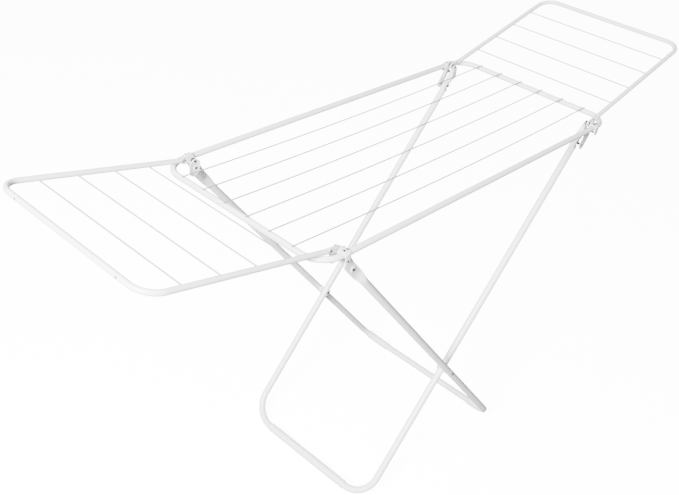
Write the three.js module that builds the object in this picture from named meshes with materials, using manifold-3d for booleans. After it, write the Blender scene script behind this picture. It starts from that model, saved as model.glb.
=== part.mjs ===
// A winged clothes drying rack of powder-coated steel tube, standing open.
// A fixed top frame carries six long wires. Two U-shaped wings with cross wires hinge near its ends.
// Two nested U-shaped legs cross under it: the outer one is hinged to the left brackets,
// and the inner one hooks on a pin at the right brackets.
// Units are millimetres. X runs along the rack, Y across it, +Z up. The floor is z = 0 and the
// origin lies on the floor under the crossing of the legs.

import * as THREE from "three";
import { mergeVertices } from "three/addons/utils/BufferGeometryUtils.js";
import Module from "manifold-3d";

const wasm = await Module();
wasm.setup();

// Driving dimensions
const RAIL_HEIGHT = 900; // centre of the top frame's tube
const FRAME_LENGTH = 1062; // end bar centre to end bar centre
const FRAME_WIDTH = 486; // rail centre to rail centre
const FRAME_TUBE = 14;
const FRAME_CORNER = 56; // centre-line bend radius
const FRAME_WIRES = 6;
const FRAME_WIRE_PITCH = 67.6;
const FRAME_WIRE_SAG = 9.4; // the long wires hang a little slack

const WING_PIVOT_X = 466; // wing pivots, left and right of the middle
const WING_PIVOT_RISE = 3.4; // above the rail centre; an open arm then lies on the frame's corner
const WING_REACH = 459.6; // pivot to the centre of the wing's end bar
const WING_WIDTH = 450; // arm centre to arm centre, just inside the rails
const WING_TUBE = 12;
const WING_CORNER = 42;
const LEFT_WING_TILT = THREE.MathUtils.degToRad(12.1); // open, with its arms on the frame's corners
const RIGHT_WING_TILT = THREE.MathUtils.degToRad(14.2);
const WING_WIRES = 4;
const WING_FIRST_WIRE = 117;
const WING_WIRE_PITCH = 86;
const WING_WIRE_DROP = 4; // the wires meet the lower half of the arms

const WIRE = 3.2;
const WELD_GAP = 0.3;

const LEG_TUBE = 18;
const CROSSING_X = 9;
const CROSSING_HEIGHT = 327;
const FOOT_BAR_HEIGHT = 10.6;
const OUTER_LEG_WIDTH = 481.2; // tube centre to tube centre, in line with the rails
const OUTER_LEG_FOOT = 267.7; // the foot bars, along X from the crossing
const OUTER_LEG_CORNER = 72;
const INNER_LEG_WIDTH = 430.8; // nests inside the outer leg
const INNER_LEG_FOOT = -255.8;
const INNER_LEG_CORNER = 70;
const LEG_PIVOT_HEIGHT = 848; // outer leg's rivet in the left brackets
const CATCH_PIN_HEIGHT = 855; // pin that the inner leg's hooks hang on, right brackets
const OUTER_LEG_FOLD = 48.7; // degrees, used for the way the hook leaves its pin
const INNER_LEG_FOLD = 76.3;

const SHEET = 2;
const BRACKET_FACE = 233.7; // inner face of the bracket's plate, from the middle of the rack
const COVER_FACE = 215; // inner face of the cover plate

const TUBE_SIDES = 16;
const BEND_STEPS = 8;
const WIRE_SIDES = 8;
const ROUND_SIDES = 12;

// Finishes
const whiteCoat = () => new THREE.MeshStandardMaterial({ color: 0xf1f1ef, roughness: 0.38, metalness: 0 });
const whiteWire = () => new THREE.MeshStandardMaterial({ color: 0xf3f3f1, roughness: 0.42, metalness: 0 });
const whitePlastic = () => new THREE.MeshStandardMaterial({ color: 0xececea, roughness: 0.5, metalness: 0 });
const steel = () => new THREE.MeshStandardMaterial({ color: 0x6d6f72, roughness: 0.35, metalness: 1 });

const rack = new THREE.Group();

function add(group, name, geometry, material) {
  const mesh = new THREE.Mesh(geometry, material);
  mesh.name = name;
  group.add(mesh);
  return mesh;
}

// Joins and cuts

function toSolid(geometry) {
  const bare = geometry.clone();
  bare.deleteAttribute("normal");
  bare.deleteAttribute("uv");
  const merged = mergeVertices(bare, 1e-3);
  return new wasm.Manifold(new wasm.Mesh({
    numProp: 3,
    vertProperties: new Float32Array(merged.attributes.position.array),
    triVerts: new Uint32Array(merged.index.array),
  }));
}

function toGeometry(solid) {
  const mesh = solid.getMesh();
  const geometry = new THREE.BufferGeometry();
  geometry.setAttribute("position", new THREE.BufferAttribute(mesh.vertProperties, 3));
  geometry.setIndex(new THREE.BufferAttribute(mesh.triVerts, 1));
  geometry.computeVertexNormals();
  return geometry;
}

function cut(geometry, ...tools) {
  let solid = toSolid(geometry);
  for (const tool of tools) {
    solid = solid.subtract(toSolid(tool));
  }
  return toGeometry(solid);
}

// A cylinder across the rack, for drilling
function drill(radius, x, z, length = 1200) {
  return new THREE.CylinderGeometry(radius, radius, length, ROUND_SIDES).translate(x, 0, z);
}

// Tubes

// A path through given stations, so that straight runs need only their two ends
class Run extends THREE.Curve {
  constructor(stations) {
    super();
    this.stations = stations;
  }
  getPoint(t, target = new THREE.Vector3()) {
    const place = THREE.MathUtils.clamp(t, 0, 1) * (this.stations.length - 1);
    const first = Math.min(Math.floor(place + 1e-9), this.stations.length - 2);
    return target.lerpVectors(this.stations[first], this.stations[first + 1], place - first);
  }
  getPointAt(u, target) {
    return this.getPoint(u, target);
  }
  getTangentAt(u, target = new THREE.Vector3()) {
    const last = this.stations.length - 1;
    const here = Math.round(u * last);
    const ahead = this.stations[Math.min(here + 1, last)].clone().sub(this.stations[Math.min(here, last - 1)]);
    const behind = this.stations[Math.max(here, 1)].clone().sub(this.stations[Math.max(here - 1, 0)]);
    return target.addVectors(ahead.normalize(), behind.normalize()).normalize();
  }
}

function circleOutline(radius, sides) {
  const points = [];
  for (let i = 0; i < sides; i += 1) {
    const angle = (i / sides) * 2 * Math.PI;
    points.push(new THREE.Vector2(radius * Math.cos(angle), radius * Math.sin(angle)));
  }
  return points;
}

function tubeAlong(stations, radius, bore = 0, sides = TUBE_SIDES) {
  const outline = new THREE.Shape(circleOutline(radius, sides));
  if (bore > 0) {
    outline.holes.push(new THREE.Path(circleOutline(bore, TUBE_SIDES).reverse()));
  }
  return new THREE.ExtrudeGeometry(outline, {
    steps: stations.length - 1,
    extrudePath: new Run(stations),
    bevelEnabled: false,
  });
}

// Quarter bend from a straight along X into a bar along Y, from a given step on; side is -1 or 1
function bendStations(barX, halfWidth, corner, side, first = 0) {
  const stations = [];
  for (let i = first; i <= BEND_STEPS; i += 1) {
    const angle = (i / BEND_STEPS) * (Math.PI / 2);
    stations.push(new THREE.Vector3(
      barX - corner + corner * Math.sin(angle),
      side * (halfWidth - corner + corner * Math.cos(angle)),
      0,
    ));
  }
  return stations;
}

// A U in the XY plane: two arms from tipX to a bar at barX. ends lists extra stations from each tip.
function uStations(tipX, barX, width, corner, ends = [0]) {
  const half = width / 2;
  const near = ends.map((step) => new THREE.Vector3(tipX + step, -half, 0));
  const far = ends.map((step) => new THREE.Vector3(tipX + step, half, 0)).reverse();
  return [
    ...near,
    ...bendStations(barX, half, corner, -1),
    ...bendStations(barX, half, corner, 1).reverse(),
    ...far,
  ];
}

// Presses the tips of a U flat into rounded tabs. The tube narrows to the tab's thickness across the
// rack and widens along Z, and the tab may stand off the tube's own centre line.
function pressTips(geometry, { tipX, tube, width, thickness, flat, blend, axisY, tabY }) {
  const position = geometry.attributes.position;
  for (let i = 0; i < position.count; i += 1) {
    const step = position.getX(i) - tipX;
    if (step < flat + blend) {
      const press = 1 - THREE.MathUtils.smoothstep(step, flat, flat + blend);
      const side = Math.sign(position.getY(i));
      const across = position.getY(i) - side * axisY;
      const limit = THREE.MathUtils.lerp(tube / 2, thickness / 2, press);
      const inset = Math.max(0, width / 2 - step) / (width / 2);
      const rounding = Math.max(0.15, Math.sqrt(Math.max(0, 1 - inset * inset)));
      const swell = THREE.MathUtils.lerp(1, width / tube, press);
      position.setY(i, side * THREE.MathUtils.lerp(axisY, tabY, press)
        + THREE.MathUtils.clamp(across, -limit, limit));
      position.setZ(i, position.getZ(i) * swell * rounding);
    }
  }
  return geometry;
}

// Stations that follow a rounded tab of the given width, its flat and its blend into the tube
function tabSteps(width, flat, blend) {
  const round = width / 2;
  const steps = [0, 0.07 * round, 0.25 * round, 0.55 * round, round, flat];
  for (let i = 1; i <= 5; i += 1) {
    steps.push(flat + (blend * i) / 5);
  }
  return steps;
}

// Sheet metal

// Outline that wraps two circles, given as { x, z, r }, with round holes
function linkShape(a, b, holes) {
  const heading = Math.atan2(b.z - a.z, b.x - a.x);
  const spread = Math.acos((a.r - b.r) / Math.hypot(b.x - a.x, b.z - a.z));
  const shape = new THREE.Shape();
  shape.absarc(a.x, a.z, a.r, heading + spread, heading - spread + 2 * Math.PI, false);
  shape.absarc(b.x, b.z, b.r, heading - spread, heading + spread, false);
  shape.closePath();
  for (const hole of holes) {
    const round = new THREE.Path();
    round.absarc(hole.x, hole.z, hole.r, 0, 2 * Math.PI, true);
    shape.holes.push(round);
  }
  return shape;
}

// Stands a sheet up across the rack, from y = face to y = face + thickness
function uprightSheet(shape, face, thickness) {
  const geometry = new THREE.ExtrudeGeometry(shape, { depth: thickness, bevelEnabled: false, curveSegments: 9 });
  geometry.rotateX(Math.PI / 2);
  return geometry.translate(0, face + thickness, 0);
}

// Strap over the rail, one with the bracket's plate
function saddle(middleX) {
  const inner = FRAME_TUBE / 2 + WELD_GAP;
  const outer = inner + SHEET;
  const shape = new THREE.Shape();
  shape.absarc(0, 0, outer, THREE.MathUtils.degToRad(-15), THREE.MathUtils.degToRad(195), false);
  shape.absarc(0, 0, inner, THREE.MathUtils.degToRad(195), THREE.MathUtils.degToRad(-15), true);
  shape.closePath();
  const geometry = new THREE.ExtrudeGeometry(shape, { depth: 18, bevelEnabled: false, curveSegments: 9 });
  geometry.rotateY(Math.PI / 2);
  geometry.rotateX(Math.PI / 2);
  return geometry.translate(middleX - 9, FRAME_WIDTH / 2, RAIL_HEIGHT);
}

// A turned pin along Y from [radius, y] steps, closed on its axis
function pin(steps, x, z) {
  const profile = [new THREE.Vector2(0, steps[0][1])];
  for (const [radius, y] of steps) {
    profile.push(new THREE.Vector2(radius, y));
  }
  profile.push(new THREE.Vector2(0, steps[steps.length - 1][1]));
  return new THREE.LatheGeometry(profile, ROUND_SIDES).translate(x, 0, z);
}

// Mirrors a geometry to the other side of the rack and turns its faces out again
function otherSide(geometry) {
  const mirrored = geometry.clone().applyMatrix4(new THREE.Matrix4().makeScale(1, -1, 1));
  const solid = mirrored.index ? mirrored.toNonIndexed() : mirrored;
  const position = solid.attributes.position;
  const first = new THREE.Vector3();
  const third = new THREE.Vector3();
  for (let i = 0; i < position.count; i += 3) {
    first.fromBufferAttribute(position, i);
    third.fromBufferAttribute(position, i + 2);
    position.setXYZ(i, third.x, third.y, third.z);
    position.setXYZ(i + 2, first.x, first.y, first.z);
  }
  solid.computeVertexNormals();
  return solid;
}

function addPair(group, name, geometry, material) {
  add(group, `${name}_back`, geometry, material());
  add(group, `${name}_front`, otherSide(geometry), material());
}

// Leg directions: each leg leans so that its tubes pass the crossing and end at its foot bar
const drop = CROSSING_HEIGHT - FOOT_BAR_HEIGHT;
const outerLean = Math.atan2(drop, OUTER_LEG_FOOT);
const innerLean = Math.atan2(drop, -INNER_LEG_FOOT);
const outerFootReach = Math.hypot(drop, OUTER_LEG_FOOT);
const innerFootReach = Math.hypot(drop, INNER_LEG_FOOT);
const outerTopReach = (LEG_PIVOT_HEIGHT - CROSSING_HEIGHT) / Math.sin(outerLean);
const innerTopReach = (CATCH_PIN_HEIGHT - CROSSING_HEIGHT) / Math.sin(innerLean);
const legPivotX = CROSSING_X - outerTopReach * Math.cos(outerLean);
const catchPinX = CROSSING_X + innerTopReach * Math.cos(innerLean);
const wingPivotHeight = RAIL_HEIGHT + WING_PIVOT_RISE;

// Top frame: two U halves that meet in the middle of the rails, and the long wires

const frameHalf = tubeAlong(
  uStations(WELD_GAP / 2, FRAME_LENGTH / 2, FRAME_WIDTH, FRAME_CORNER),
  FRAME_TUBE / 2,
);
add(rack, "frame_tube_right", frameHalf, whiteCoat()).position.set(0, 0, RAIL_HEIGHT);
const leftHalf = add(rack, "frame_tube_left", frameHalf.clone(), whiteCoat());
leftHalf.position.set(0, 0, RAIL_HEIGHT);
leftHalf.rotation.z = Math.PI;

// A wire lies across both end bars and hangs in a shallow arc between them
const frameWireRest = FRAME_TUBE / 2 + WIRE / 2 + WELD_GAP;
function frameWire() {
  const half = FRAME_LENGTH / 2;
  const stations = [new THREE.Vector3(-half - 4, 0, frameWireRest)];
  for (let i = -5; i <= 5; i += 1) {
    const way = i / 5;
    stations.push(new THREE.Vector3(way * half, 0, frameWireRest - FRAME_WIRE_SAG * (1 - way * way)));
  }
  stations.push(new THREE.Vector3(half + 4, 0, frameWireRest));
  return tubeAlong(stations, WIRE / 2, 0, WIRE_SIDES);
}
for (let i = 1; i <= FRAME_WIRES; i += 1) {
  const mesh = add(rack, `frame_wire_${i}`, frameWire(), whiteWire());
  mesh.position.set(0, FRAME_WIRE_PITCH * ((FRAME_WIRES + 1) / 2 - i), RAIL_HEIGHT);
}

// Brackets: a plate with a strap over the rail, a cover plate, and the pins between them

function addBrackets(name, side, lowerPin) {
  const pivot = { x: side * WING_PIVOT_X, z: wingPivotHeight, r: 12 };
  const stud = { x: side * 463, z: 886, r: 2.8 };
  const lower = { x: lowerPin.x, z: lowerPin.z, r: 12 };
  const plate = uprightSheet(
    linkShape(pivot, lower, [stud, { ...lower, r: lowerPin.hole }]),
    BRACKET_FACE,
    SHEET,
  );
  const railSpace = drill(FRAME_TUBE / 2 + WELD_GAP, 0, 0, 200).rotateZ(Math.PI / 2);
  railSpace.translate(side * 464, FRAME_WIDTH / 2, RAIL_HEIGHT);
  const pinSpace = drill(3.3, pivot.x, pivot.z, 2 * SHEET).translate(0, BRACKET_FACE + SHEET / 2, 0);
  const bracket = toSolid(plate)
    .add(toSolid(saddle(side * 464)))
    .subtract(toSolid(railSpace))
    .subtract(toSolid(pinSpace));
  addPair(rack, `${name}_bracket`, toGeometry(bracket), whiteCoat);

  const cover = uprightSheet(
    linkShape(
      { x: side * 464.5, z: 892, r: 15 },
      { x: side * 465.5, z: 879, r: 14 },
      [{ ...pivot, r: 3.3 }, stud],
    ),
    COVER_FACE,
    SHEET,
  );
  addPair(rack, `${name}_cover`, cover, whiteCoat);

  const pivotPin = pin([
    [3.4, COVER_FACE - 2.4],
    [5, COVER_FACE - 1.4],
    [5, COVER_FACE - 0.3],
    [3, COVER_FACE - 0.3],
    [3, COVER_FACE + SHEET + 0.3],
    [5.5, COVER_FACE + SHEET + 0.3],
    [5.5, WING_WIDTH / 2 - 2.5],
    [3, WING_WIDTH / 2 - 2.5],
    [3, WING_WIDTH / 2 + 2.5],
    [5.5, WING_WIDTH / 2 + 2.5],
    [5.5, BRACKET_FACE - 0.3],
    [3, BRACKET_FACE - 0.3],
    [3, BRACKET_FACE + SHEET - 0.1],
  ], pivot.x, pivot.z);
  addPair(rack, `${name}_wing_pin`, pivotPin, steel);

  const studPin = pin([
    [3, COVER_FACE - 2.2],
    [4.4, COVER_FACE - 1.3],
    [4.4, COVER_FACE - 0.3],
    [2.5, COVER_FACE - 0.3],
    [2.5, COVER_FACE + SHEET + 0.3],
    [3.6, COVER_FACE + SHEET + 0.3],
    [3.6, BRACKET_FACE - 0.3],
    [2.5, BRACKET_FACE - 0.3],
    [2.5, BRACKET_FACE + SHEET - 0.1],
  ], stud.x, stud.z);
  addPair(rack, `${name}_stud`, studPin, steel);

  addPair(rack, lowerPin.name, pin(lowerPin.steps, lower.x, lower.z), steel);
}

const tabOuterFace = 240.75;
addBrackets("left", -1, {
  name: "leg_pin",
  x: legPivotX,
  z: LEG_PIVOT_HEIGHT,
  hole: 3.8,
  steps: [
    [3.5, BRACKET_FACE - 2.2],
    [6, BRACKET_FACE - 1.2],
    [6, BRACKET_FACE - 0.3],
    [3.5, BRACKET_FACE - 0.3],
    [3.5, tabOuterFace + 0.3],
    [6.5, tabOuterFace + 0.3],
    [6.5, tabOuterFace + 1.3],
    [4.2, tabOuterFace + 2.5],
  ],
});
addBrackets("right", 1, {
  name: "catch_pin",
  x: catchPinX,
  z: CATCH_PIN_HEIGHT,
  hole: 3.3,
  steps: [
    [2.6, 205],
    [4.6, 205.8],
    [4.6, 207.9],
    [3, 207.9],
    [3, BRACKET_FACE + SHEET - 0.1],
  ],
});

// Wings: a U of thin tube whose tips are pressed flat on the pins, and the cross wires

const wingTab = { width: 17, flat: 28, blend: 14 };
const wingTipX = -wingTab.width / 2;

function wingTube() {
  const tube = tubeAlong(
    uStations(wingTipX, WING_REACH, WING_WIDTH, WING_CORNER, tabSteps(wingTab.width, wingTab.flat, wingTab.blend)),
    WING_TUBE / 2,
  );
  pressTips(tube, {
    tipX: wingTipX,
    tube: WING_TUBE,
    width: wingTab.width,
    thickness: 4.4,
    flat: wingTab.flat,
    blend: wingTab.blend,
    axisY: WING_WIDTH / 2,
    tabY: WING_WIDTH / 2,
  });
  return cut(tube, drill(3.3, 0, 0));
}

function addWing(name, turn, tilt) {
  const wing = new THREE.Group();
  wing.position.set(turn === 0 ? WING_PIVOT_X : -WING_PIVOT_X, 0, wingPivotHeight);
  wing.rotation.set(0, tilt, turn);
  add(wing, `${name}_tube`, wingTube(), whiteCoat());
  const wireLength = WING_WIDTH - WING_TUBE - WELD_GAP;
  for (let i = 0; i < WING_WIRES; i += 1) {
    const wire = new THREE.CylinderGeometry(WIRE / 2, WIRE / 2, wireLength, WIRE_SIDES);
    const mesh = add(wing, `${name}_wire_${i + 1}`, wire, whiteWire());
    mesh.position.set(WING_FIRST_WIRE + WING_WIRE_PITCH * i, 0, -WING_WIRE_DROP);
  }
  rack.add(wing);
}

addWing("right_wing", 0, -RIGHT_WING_TILT);
addWing("left_wing", Math.PI, LEFT_WING_TILT);

// Legs: each group lies along its leg, with its origin on the crossing and X down to the foot

const outerLeg = new THREE.Group();
outerLeg.position.set(CROSSING_X, 0, CROSSING_HEIGHT);
outerLeg.rotation.y = outerLean;
rack.add(outerLeg);

const innerLeg = new THREE.Group();
innerLeg.position.set(CROSSING_X, 0, CROSSING_HEIGHT);
innerLeg.rotation.y = Math.PI - innerLean;
rack.add(innerLeg);

const crossingHole = 3.8;
const legTab = { width: 25, flat: 53, blend: 40, beyond: 33 };
const outerTipX = -outerTopReach - legTab.beyond;
const outerTube = tubeAlong(
  uStations(
    outerTipX,
    outerFootReach,
    OUTER_LEG_WIDTH,
    OUTER_LEG_CORNER,
    tabSteps(legTab.width, legTab.flat, legTab.blend),
  ),
  LEG_TUBE / 2,
);
pressTips(outerTube, {
  tipX: outerTipX,
  tube: LEG_TUBE,
  width: legTab.width,
  thickness: 4.5,
  flat: legTab.flat,
  blend: legTab.blend,
  axisY: OUTER_LEG_WIDTH / 2,
  tabY: 238.5,
});
add(
  outerLeg,
  "outer_leg_tube",
  cut(outerTube, drill(3.8, -outerTopReach, 0), drill(crossingHole, 0, 0)),
  whiteCoat(),
);

const plugLength = 15;
const innerTube = tubeAlong(
  uStations(-innerTopReach + plugLength + WELD_GAP, innerFootReach, INNER_LEG_WIDTH, INNER_LEG_CORNER),
  LEG_TUBE / 2,
);
add(innerLeg, "inner_leg_tube", cut(innerTube, drill(crossingHole, 0, 0)), whiteCoat());

// Feet: moulded shoes round the outer leg's corners, and a long sleeve with end collars on the
// inner leg's foot bar, each with a flat sole on the floor

const footRadius = 11;
const footBore = LEG_TUBE / 2 + WELD_GAP;

function soled(geometry, leg) {
  leg.updateMatrixWorld(true);
  const floor = new THREE.BoxGeometry(4000, 4000, 100).translate(0, 0, -50);
  const inLeg = floor.applyMatrix4(leg.matrixWorld.clone().invert());
  return cut(geometry, inLeg);
}

const outerBarEnd = OUTER_LEG_WIDTH / 2 - OUTER_LEG_CORNER;
for (const [place, side] of [["back", 1], ["front", -1]]) {
  const stations = [
    ...bendStations(outerFootReach, OUTER_LEG_WIDTH / 2, OUTER_LEG_CORNER, side, 3),
    new THREE.Vector3(outerFootReach, side * (outerBarEnd - 6), 0),
  ];
  const shoe = tubeAlong(stations, footRadius, footBore);
  add(outerLeg, `outer_foot_${place}`, soled(shoe, outerLeg), whitePlastic());
}

function barSleeve(from, to) {
  return tubeAlong([
    new THREE.Vector3(innerFootReach, from, 0),
    new THREE.Vector3(innerFootReach, to, 0),
  ], footRadius, footBore);
}

add(innerLeg, "inner_foot_sleeve", soled(barSleeve(-127, 127), innerLeg), whitePlastic());
add(innerLeg, "inner_foot_collar_back", soled(barSleeve(131, 143), innerLeg), whitePlastic());
add(innerLeg, "inner_foot_collar_front", soled(barSleeve(-143, -131), innerLeg), whitePlastic());

// Hooks at the top of the inner leg. The slot points the way the pin leaves as the legs fold.

function hookGeometry() {
  const rise = CATCH_PIN_HEIGHT - CROSSING_HEIGHT;
  const wayX = OUTER_LEG_FOLD * (CATCH_PIN_HEIGHT - LEG_PIVOT_HEIGHT) + INNER_LEG_FOLD * rise;
  const wayZ = -OUTER_LEG_FOLD * (catchPinX - legPivotX) - INNER_LEG_FOLD * (catchPinX - CROSSING_X);
  const alongLeg = -wayX * Math.cos(innerLean) - wayZ * Math.sin(innerLean);
  const acrossLeg = wayX * Math.sin(innerLean) - wayZ * Math.cos(innerLean);
  const exit = Math.atan2(acrossLeg, alongLeg);
  const half = 8.6;
  const tip = 10;
  const slot = 3.4;
  const body = new THREE.Shape();
  body.moveTo(plugLength, -half);
  body.lineTo(plugLength, half);
  body.lineTo(half - tip, half);
  body.absarc(half - tip, 0, half, Math.PI / 2, 1.5 * Math.PI, false);
  body.closePath();
  const block = uprightSheet(body, INNER_LEG_WIDTH / 2 - 7, 14);
  const slotShape = new THREE.Shape();
  slotShape.moveTo(0, slot);
  slotShape.absarc(0, 0, slot, Math.PI / 2, 1.5 * Math.PI, false);
  slotShape.lineTo(30, -slot);
  slotShape.lineTo(30, slot);
  slotShape.closePath();
  const slotTool = uprightSheet(slotShape, INNER_LEG_WIDTH / 2 - 20, 40).rotateY(-exit);
  return cut(block, slotTool).translate(-innerTopReach, 0, 0);
}

const hook = hookGeometry();
addPair(innerLeg, "inner_leg_hook", hook, whitePlastic);

// Rivets and washers where the legs cross

const crossingInside = (INNER_LEG_WIDTH - LEG_TUBE) / 2;
const crossingOutside = (OUTER_LEG_WIDTH + LEG_TUBE) / 2;
const crossingGap = [crossingInside + LEG_TUBE, crossingOutside - LEG_TUBE];
const rivet = pin([
  [4, crossingInside - 4.6],
  [6.5, crossingInside - 3.4],
  [6.5, crossingInside - 2.4],
  [3.5, crossingInside - 2.4],
  [3.5, crossingOutside + 0.3],
  [6.5, crossingOutside + 0.3],
  [6.5, crossingOutside + 1.4],
  [4.2, crossingOutside + 2.8],
], 0, 0);
addPair(outerLeg, "crossing_rivet", rivet, steel);

function washer(radius, bore, from, to) {
  const profile = [
    new THREE.Vector2(bore, from),
    new THREE.Vector2(radius, from),
    new THREE.Vector2(radius, to),
    new THREE.Vector2(bore, to),
    new THREE.Vector2(bore, from),
  ];
  return new THREE.LatheGeometry(profile, ROUND_SIDES);
}

addPair(outerLeg, "crossing_washer", washer(9, 3.8, crossingGap[0] + 0.3, crossingGap[1] - 0.3), whitePlastic);
addPair(innerLeg, "crossing_cap", washer(10, 3.8, crossingInside - 2.1, crossingInside - 0.3), whitePlastic);

export default rack;
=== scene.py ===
"""Finish of a winged clothes drying rack of white powder-coated steel tube.

Every surface is a grid of rings worked out with numpy. Sizes are millimetres until a mesh is made,
in the rack's own frame: X along it, Y across it, Z up from the floor.
"""

import math

import bpy
import numpy as np
from mathutils import Matrix, Vector


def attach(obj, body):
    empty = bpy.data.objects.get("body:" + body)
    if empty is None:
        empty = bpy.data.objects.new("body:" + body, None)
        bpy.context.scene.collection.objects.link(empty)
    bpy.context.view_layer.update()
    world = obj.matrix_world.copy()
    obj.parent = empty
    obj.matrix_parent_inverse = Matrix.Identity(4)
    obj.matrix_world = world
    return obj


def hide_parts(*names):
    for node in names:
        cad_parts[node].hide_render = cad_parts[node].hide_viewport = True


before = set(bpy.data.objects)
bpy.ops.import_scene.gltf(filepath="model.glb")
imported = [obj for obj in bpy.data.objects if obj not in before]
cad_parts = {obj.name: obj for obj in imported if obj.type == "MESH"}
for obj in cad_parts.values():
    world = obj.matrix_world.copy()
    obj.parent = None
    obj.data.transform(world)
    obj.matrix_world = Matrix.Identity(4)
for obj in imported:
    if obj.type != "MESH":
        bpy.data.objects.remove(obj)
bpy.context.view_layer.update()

MM = 0.001

# Driving dimensions
RAIL_HEIGHT = 900
FRAME_LENGTH = 1062
FRAME_WIDTH = 486
FRAME_TUBE = 14
FRAME_CORNER = 56
FRAME_WIRES = 6
FRAME_WIRE_PITCH = 67.6
FRAME_WIRE_SAG = 9.4
WING_PIVOT_X = 466
WING_PIVOT_HEIGHT = RAIL_HEIGHT + 3.4
WING_REACH = 459.6
WING_WIDTH = 450
WING_TUBE = 12
WING_CORNER = 42
WING_TILTS = {"left": math.radians(12.1), "right": math.radians(14.2)}
WING_WIRES = 4
WING_FIRST_WIRE = 117
WING_WIRE_PITCH = 86
WING_WIRE_DROP = 4
WIRE = 3.2
LEG_TUBE = 18
CROSSING = (9, 327)
FOOT_BAR_HEIGHT = 10.6
OUTER_LEG_WIDTH = 481.2
OUTER_LEG_FOOT = 267.7
OUTER_LEG_CORNER = 72
INNER_LEG_WIDTH = 430.8
INNER_LEG_FOOT = 255.8
INNER_LEG_CORNER = 70
LEG_PIVOT_HEIGHT = 848
CATCH_PIN_HEIGHT = 855
OUTER_LEG_FOLD = 48.7
INNER_LEG_FOLD = 76.3
SHEET = 2
STRAP_X = 464
STRAP_GAP = 0.3
TONGUE_FOOT = 887
PLATE_FACE = 233.7
COVER_FACE = 215
FOOT_RADIUS = 11

# Light
SKY_STRENGTH = 0.48
KEY_POWER = 900
FILL_POWER = 60
FLOOR_GLOW = 12

leg_drop = CROSSING[1] - FOOT_BAR_HEIGHT
outer_lean = math.atan2(leg_drop, OUTER_LEG_FOOT)
inner_lean = math.atan2(leg_drop, INNER_LEG_FOOT)
outer_foot_reach = math.hypot(leg_drop, OUTER_LEG_FOOT)
inner_foot_reach = math.hypot(leg_drop, INNER_LEG_FOOT)
outer_top_reach = (LEG_PIVOT_HEIGHT - CROSSING[1]) / math.sin(outer_lean)
inner_top_reach = (CATCH_PIN_HEIGHT - CROSSING[1]) / math.sin(inner_lean)
leg_pivot = (CROSSING[0] - outer_top_reach * math.cos(outer_lean), LEG_PIVOT_HEIGHT)
catch_pin = (CROSSING[0] + inner_top_reach * math.cos(inner_lean), CATCH_PIN_HEIGHT)
ENDS = (("back", 1), ("front", -1))


# Camera and light

def set_camera():
    """Stands the camera where the rack is seen end-on from the left, a little from above."""
    lens = bpy.data.cameras.new("camera")
    lens.lens = 48.8915
    lens.sensor_fit = "HORIZONTAL"
    lens.sensor_width = 36
    lens.clip_end = 50
    camera = bpy.data.objects.new("camera", lens)
    bpy.context.scene.collection.objects.link(camera)
    ahead = Vector((0.633728, 0.5441, -0.549857)).normalized()
    up = Vector((0.345713, 0.43667, 0.830543))
    right = ahead.cross(up).normalized()
    up = right.cross(ahead)
    turn = Matrix((right, up, -ahead)).transposed().to_4x4()
    camera.matrix_world = Matrix.Translation((-1.59424, -1.19702, 1.88734)) @ turn
    bpy.context.scene.camera = camera


def add_softbox(name, place, aim, size, power):
    """A square area light at place that faces aim."""
    light = bpy.data.lights.new(name, "AREA")
    light.shape = "SQUARE"
    light.size = size
    light.energy = power
    lamp = bpy.data.objects.new(name, light)
    bpy.context.scene.collection.objects.link(lamp)
    lamp.location = place
    lamp.rotation_euler = (Vector(aim) - Vector(place)).to_track_quat("-Z", "Y").to_euler()


def set_room():
    """A pale lit floor under an even sky, with a soft key from the left end and a weak fill. The
    floor glows on its own and sends no light back onto the rack."""
    world = bpy.data.worlds.new("studio")
    world.use_nodes = True
    sky = world.node_tree.nodes["Background"]
    sky.inputs["Color"].default_value = (1, 1, 1, 1)
    sky.inputs["Strength"].default_value = SKY_STRENGTH
    bpy.context.scene.world = world
    add_softbox("key", (-3.1, -1.0, 2.5), (0, 0, 0.6), 1.1, KEY_POWER)
    add_softbox("fill", (-1.5, 2.6, 2.6), (0, 0, 0.6), 2.0, FILL_POWER)

    material, shader = new_material("floor_paint", (0.93, 0.93, 0.93), 0.85)
    nodes = material.node_tree.nodes
    links = material.node_tree.links
    place = nodes.new("ShaderNodeTexCoord")
    grain = nodes.new("ShaderNodeTexNoise")
    grain.inputs["Scale"].default_value = 180
    links.new(place.outputs["Object"], grain.inputs["Vector"])
    relief = nodes.new("ShaderNodeBump")
    relief.inputs["Strength"].default_value = 0.05
    relief.inputs["Distance"].default_value = 0.0005
    links.new(grain.outputs["Fac"], relief.inputs["Height"])
    links.new(relief.outputs["Normal"], shader.inputs["Normal"])
    shader.inputs["Emission Color"].default_value = (1, 1, 1, 1)
    shader.inputs["Emission Strength"].default_value = FLOOR_GLOW
    reach = 30
    mesh = bpy.data.meshes.new("floor")
    mesh.from_pydata(
        [(-reach, -reach, 0), (reach, -reach, 0), (reach, reach, 0), (-reach, reach, 0)],
        [], [(0, 1, 2, 3)],
    )
    mesh.materials.append(material)
    floor = bpy.data.objects.new("floor", mesh)
    bpy.context.scene.collection.objects.link(floor)
    floor.visible_diffuse = False
    floor.visible_glossy = False


# Materials: patterns read object coordinates, in metres

def new_material(name, colour, roughness):
    """A material whose shader has the given base colour and roughness."""
    material = bpy.data.materials.new(name)
    material.use_nodes = True
    shader = material.node_tree.nodes["Principled BSDF"]
    shader.inputs["Base Color"].default_value = (*colour, 1)
    shader.inputs["Roughness"].default_value = roughness
    return material, shader


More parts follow.
